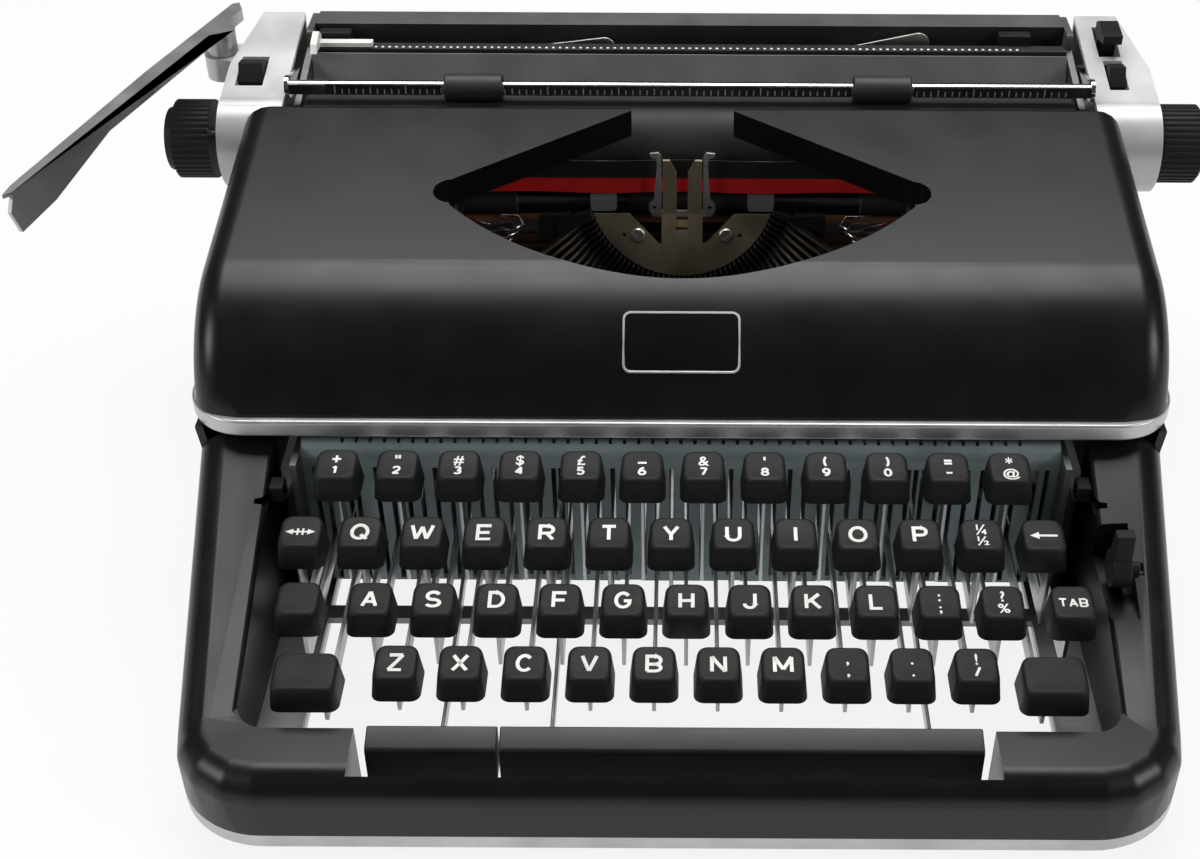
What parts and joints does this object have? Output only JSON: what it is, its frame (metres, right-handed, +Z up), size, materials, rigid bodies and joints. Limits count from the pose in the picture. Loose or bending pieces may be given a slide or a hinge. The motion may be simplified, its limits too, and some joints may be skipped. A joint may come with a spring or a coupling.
{
  "type": "manual_typewriter",
  "caption": "Portable manual typewriter: black housing with a four-row keyboard, hinged ribbon cover with a window over the type basket, and a sliding platen carriage with return lever",
  "frame": {"origin": "centre of the four rubber feet, on the table plane", "axes": "+X to the typist's right along the platen, +Y from the typist to the back, +Z up"},
  "size_m": [0.4022, 0.2985, 0.136],
  "materials": {
    "black_paint": "satin",
    "silver_paint": "satin",
    "rubber": "matte",
    "frame_steel": "satin",
    "lever_steel": "satin",
    "comb_steel": "satin",
    "key_plastic": "satin",
    "type_steel": "satin",
    "bronze": "satin",
    "ribbon_cloth": "matte",
    "satin_aluminium": "satin",
    "chrome": "polished",
    "white_plastic": "satin",
    "black_metal": "satin"
  },
  "bodies": {
    "base": {"base_rim": "silver_paint", "rubber_feet": "rubber", "lower_housing": "black_paint", "chassis_frame": "frame_steel", "key_comb": "comb_steel", "type_segment": "black_metal", "type_bars": "type_steel", "type_guide": "bronze", "ribbon": "ribbon_cloth", "carriage_rails": "frame_steel"},
    "row_1_keys": {"key_levers_row_1": "lever_steel", "key_caps_row_1": "key_plastic"},
    "row_2_keys": {"key_levers_row_2": "lever_steel", "key_caps_row_2": "key_plastic"},
    "row_3_keys": {"key_levers_row_3": "lever_steel", "key_caps_row_3": "key_plastic"},
    "row_4_keys": {"key_levers_row_4": "lever_steel", "key_caps_row_4": "key_plastic"},
    "key_h": {"key_h": "key_plastic"},
    "type_bar_h": {"type_bar_h": "type_steel"},
    "ribbon_vibrator": {"ribbon_vibrator": "frame_steel"},
    "space_bar": {"space_bar": "key_plastic"},
    "repeat_bar": {"repeat_bar": "key_plastic"},
    "shift_keys": {"shift_key_left": "key_plastic", "shift_key_right": "key_plastic"},
    "shift_lock_key": {"shift_lock_key": "key_plastic"},
    "margin_release_key": {"margin_release_key": "key_plastic"},
    "backspace_key": {"backspace_key": "key_plastic"},
    "tab_key": {"tab_key": "key_plastic"},
    "spool_left": {"ribbon_spool_left": "black_metal"},
    "spool_right": {"ribbon_spool_right": "black_metal"},
    "ribbon_selector": {"ribbon_selector": "key_plastic"},
    "touch_selector": {"touch_selector": "key_plastic"},
    "stroke_lever": {"stroke_lever": "key_plastic"},
    "cover": {"ribbon_cover": "black_paint", "cover_trim": "silver_paint", "cover_hinge_lugs": "frame_steel"},
    "carriage": {"carriage_frame": "frame_steel", "end_cover_left": "satin_aluminium", "end_cover_right": "satin_aluminium", "paper_table": "black_metal", "carriage_rear_cover": "black_metal", "margin_rail": "black_metal", "paper_guide": "white_plastic"},
    "mainspring_drum": {"mainspring_drum": "frame_steel"},
    "margin_stop_left": {"margin_stop_left": "black_metal"},
    "margin_stop_right": {"margin_stop_right": "black_metal"},
    "paper_support_left": {"paper_support_left": "black_metal"},
    "paper_support_right": {"paper_support_right": "black_metal"},
    "platen_assembly": {"platen": "rubber", "platen_shaft": "frame_steel", "platen_knob_left": "key_plastic", "platen_knob_right": "key_plastic"},
    "feed_roller_front": {"feed_roller_front": "rubber"},
    "feed_roller_rear": {"feed_roller_rear": "rubber"},
    "paper_bail": {"paper_bail": "chrome"},
    "bail_rollers": {"bail_rollers": "rubber"},
    "return_lever": {"return_lever": "satin_aluminium"},
    "paper_release_lever": {"paper_release_lever": "key_plastic"},
    "carriage_release": {"carriage_release_tabs": "key_plastic"}
  },
  "joints": [
    {"name": "row_1_press", "type": "hinge", "parent": "base", "child": "row_1_keys", "pos_m": [0, 0.105, 0.029], "axis": [1, 0, 0], "range_deg": [0, 5], "stiffness_Nm_per_rad": 1.2, "springref_deg": -20.05},
    {"name": "row_2_press", "type": "hinge", "parent": "base", "child": "row_2_keys", "pos_m": [0, 0.105, 0.029], "axis": [1, 0, 0], "range_deg": [0, 4.6], "stiffness_Nm_per_rad": 1.2, "springref_deg": -20.05},
    {"name": "row_3_press", "type": "hinge", "parent": "base", "child": "row_3_keys", "pos_m": [0, 0.105, 0.029], "axis": [1, 0, 0], "range_deg": [0, 4.2], "stiffness_Nm_per_rad": 1.2, "springref_deg": -20.05},
    {"name": "row_4_press", "type": "hinge", "parent": "base", "child": "row_4_keys", "pos_m": [0, 0.105, 0.029], "axis": [1, 0, 0], "range_deg": [0, 3.9], "stiffness_Nm_per_rad": 1.2, "springref_deg": -20.05},
    {"name": "key_h_press", "type": "hinge", "parent": "base", "child": "key_h", "pos_m": [0, 0.105, 0.029], "axis": [1, 0, 0], "range_deg": [0, 4.2], "stiffness_Nm_per_rad": 0.3, "springref_deg": -22.92},
    {"name": "type_bar_strike", "type": "hinge", "parent": "base", "child": "type_bar_h", "pos_m": [0, 0.06205, 0.05736], "axis": [1, 0, 0], "range_deg": [-111.1, 0]},
    {"name": "ribbon_lift", "type": "slide", "parent": "base", "child": "ribbon_vibrator", "axis": [0, 0, 1], "range_m": [0, 0.008]},
    {"name": "space_bar_press", "type": "hinge", "parent": "base", "child": "space_bar", "pos_m": [0, 0.105, 0.029], "axis": [1, 0, 0], "range_deg": [0, 1.9], "stiffness_Nm_per_rad": 0.5, "springref_deg": -22.92},
    {"name": "repeat_bar_press", "type": "hinge", "parent": "base", "child": "repeat_bar", "pos_m": [0, 0.105, 0.029], "axis": [1, 0, 0], "range_deg": [0, 1.9], "stiffness_Nm_per_rad": 0.3, "springref_deg": -22.92},
    {"name": "shift_press", "type": "hinge", "parent": "base", "child": "shift_keys", "pos_m": [0, 0.105, 0.029], "axis": [1, 0, 0], "range_deg": [0, 3.9], "stiffness_Nm_per_rad": 0.8, "springref_deg": -22.92},
    {"name": "shift_lock_press", "type": "hinge", "parent": "base", "child": "shift_lock_key", "pos_m": [0, 0.105, 0.029], "axis": [1, 0, 0], "range_deg": [0, 4.2], "stiffness_Nm_per_rad": 0.3, "springref_deg": -22.92},
    {"name": "margin_release_press", "type": "hinge", "parent": "base", "child": "margin_release_key", "pos_m": [0, 0.105, 0.029], "axis": [1, 0, 0], "range_deg": [0, 4.6], "stiffness_Nm_per_rad": 0.3, "springref_deg": -22.92},
    {"name": "backspace_press", "type": "hinge", "parent": "base", "child": "backspace_key", "pos_m": [0, 0.105, 0.029], "axis": [1, 0, 0], "range_deg": [0, 4.6], "stiffness_Nm_per_rad": 0.3, "springref_deg": -22.92},
    {"name": "tab_press", "type": "hinge", "parent": "base", "child": "tab_key", "pos_m": [0, 0.105, 0.029], "axis": [1, 0, 0], "range_deg": [0, 4.2], "stiffness_Nm_per_rad": 0.3, "springref_deg": -22.92},
    {"name": "left_spool_turn", "type": "hinge", "parent": "base", "child": "spool_left", "pos_m": [-0.11, 0.048, 0.0803], "axis": [0, 0, 1], "continuous": true},
    {"name": "right_spool_turn", "type": "hinge", "parent": "base", "child": "spool_right", "pos_m": [0.11, 0.048, 0.0803], "axis": [0, 0, 1], "continuous": true},
    {"name": "ribbon_selector_slide", "type": "slide", "parent": "base", "child": "ribbon_selector", "axis": [0, 1, 0], "range_m": [-0.005, 0.005]},
    {"name": "touch_selector_slide", "type": "slide", "parent": "base", "child": "touch_selector", "axis": [0, 1, 0], "range_m": [-0.005, 0.005]},
    {"name": "stroke_lever_turn", "type": "hinge", "parent": "base", "child": "stroke_lever", "pos_m": [0.13, -0.073, 0.052], "axis": [1, 0, 0], "range_deg": [-15, 15]},
    {"name": "cover_open", "type": "hinge", "parent": "base", "child": "cover", "pos_m": [0, 0.077, 0.1182], "axis": [1, 0, 0], "range_deg": [-50, 0]},
    {"name": "carriage_travel", "type": "slide", "parent": "base", "child": "carriage", "axis": [1, 0, 0], "range_m": [-0.11, 0.11]},
    {"name": "mainspring_turn", "type": "hinge", "parent": "base", "child": "mainspring_drum", "pos_m": [-0.095, 0.114, 0.042], "axis": [0, 1, 0], "range_deg": [-351, 351]},
    {"name": "left_margin_slide", "type": "slide", "parent": "carriage", "child": "margin_stop_left", "axis": [1, 0, 0], "range_m": [-0.001, 0.058]},
    {"name": "right_margin_slide", "type": "slide", "parent": "carriage", "child": "margin_stop_right", "axis": [1, 0, 0], "range_m": [-0.024, 0.012]},
    {"name": "left_support_raise", "type": "hinge", "parent": "carriage", "child": "paper_support_left", "pos_m": [-0.0575, 0.1365, 0.1215], "axis": [0, -1, 0], "range_deg": [0, 80]},
    {"name": "right_support_raise", "type": "hinge", "parent": "carriage", "child": "paper_support_right", "pos_m": [0.0605, 0.1365, 0.1215], "axis": [0, -1, 0], "range_deg": [0, 80]},
    {"name": "platen_turn", "type": "hinge", "parent": "carriage", "child": "platen_assembly", "pos_m": [0.0025, 0.1, 0.104], "axis": [1, 0, 0], "continuous": true},
    {"name": "front_feed_turn", "type": "hinge", "parent": "carriage", "child": "feed_roller_front", "pos_m": [0.0025, 0.08935, 0.08555], "axis": [1, 0, 0], "continuous": true},
    {"name": "rear_feed_turn", "type": "hinge", "parent": "carriage", "child": "feed_roller_rear", "pos_m": [0.0025, 0.11065, 0.08555], "axis": [1, 0, 0], "continuous": true},
    {"name": "bail_lift", "type": "hinge", "parent": "carriage", "child": "paper_bail", "pos_m": [0.0025, 0.13, 0.116], "axis": [1, 0, 0], "range_deg": [-60, 0]},
    {"name": "bail_rollers_turn", "type": "hinge", "parent": "paper_bail", "child": "bail_rollers", "pos_m": [0.0025, 0.1, 0.12515], "axis": [1, 0, 0], "continuous": true},
    {"name": "return_lever_pull", "type": "hinge", "parent": "carriage", "child": "return_lever", "pos_m": [-0.1715, 0.13, 0.1243], "axis": [0, 0, 1], "range_deg": [0, 20], "stiffness_Nm_per_rad": 0.5, "springref_deg": -11.46},
    {"name": "paper_release_pull", "type": "hinge", "parent": "carriage", "child": "paper_release_lever", "pos_m": [0.158, 0.136, 0.116], "axis": [1, 0, 0], "range_deg": [0, 12]},
    {"name": "carriage_release_press", "type": "hinge", "parent": "carriage", "child": "carriage_release", "pos_m": [0, 0.114, 0.108], "axis": [1, 0, 0], "range_deg": [0, 12], "stiffness_Nm_per_rad": 0.2, "springref_deg": -11.46}
  ],
  "couplings": [
    {"joint": "type_bar_strike", "follows": "key_h_press", "ratio": -26.35},
    {"joint": "ribbon_lift", "follows": "key_h_press", "m_per_rad": 0.109},
    {"joint": "right_spool_turn", "follows": "left_spool_turn", "ratio": 1},
    {"joint": "mainspring_turn", "follows": "carriage_travel", "rad_per_m": 55.56},
    {"joint": "front_feed_turn", "follows": "platen_turn", "ratio": -3.2},
    {"joint": "rear_feed_turn", "follows": "platen_turn", "ratio": -3.2}
  ]
}
